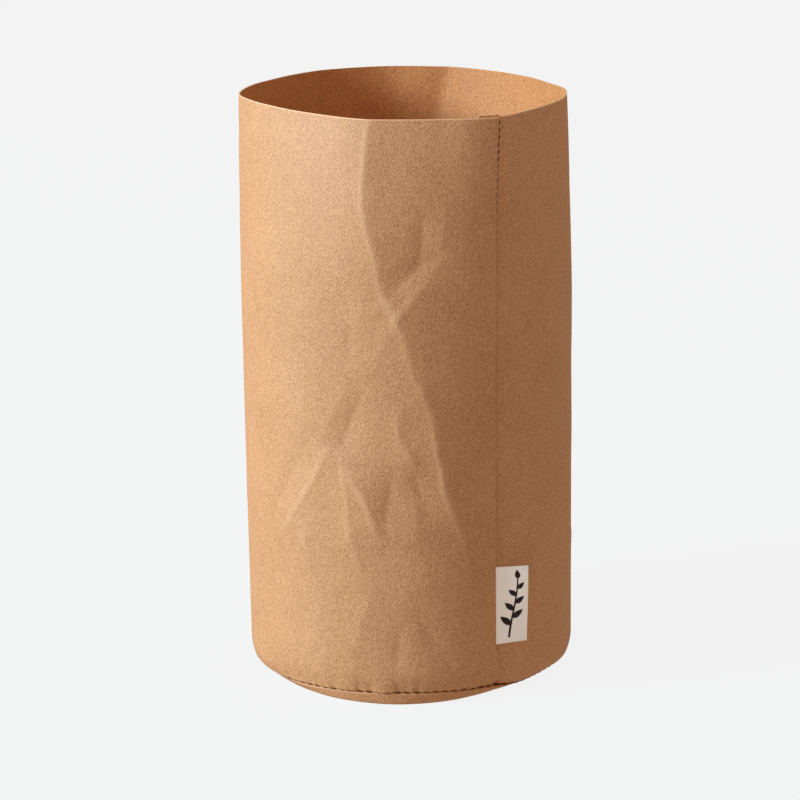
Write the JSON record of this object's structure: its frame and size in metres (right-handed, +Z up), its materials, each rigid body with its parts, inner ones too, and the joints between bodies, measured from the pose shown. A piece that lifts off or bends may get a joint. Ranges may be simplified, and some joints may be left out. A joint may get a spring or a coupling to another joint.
{
  "type": "grow bag",
  "caption": "Tall round soft planter bag sewn from washable kraft paper, open at the top, with a flat stitched base and a small folded side label.",
  "frame": {"origin": "centre of the flat base, on the surface that the bag stands on", "axes": "+Z up towards the open rim, -Y towards the front, +X to the right; the side seam is at the front right"},
  "size_m": [0.15, 0.15, 0.268],
  "materials": {
    "kraft_paper": "matt washable kraft paper, pebbled and creased",
    "thread": "brown polyester sewing thread",
    "label": "off-white woven label"
  },
  "bodies": {
    "bag": {"wall_panel": "kraft_paper", "base_panel": "kraft_paper", "side_seam_needle_thread": "thread", "side_seam_bobbin_thread": "thread", "base_seam_needle_thread": "thread", "base_seam_bobbin_thread": "thread", "label_tail": "label"},
    "label": {"label_flap": "label"}
  },
  "joints": [
    {"name": "label_swing", "type": "hinge", "parent": "bag", "child": "label", "pos_m": [0.03894, -0.0648, 0.0445], "axis": [0, 0, 1], "range_deg": [-145, 14]}
  ]
}
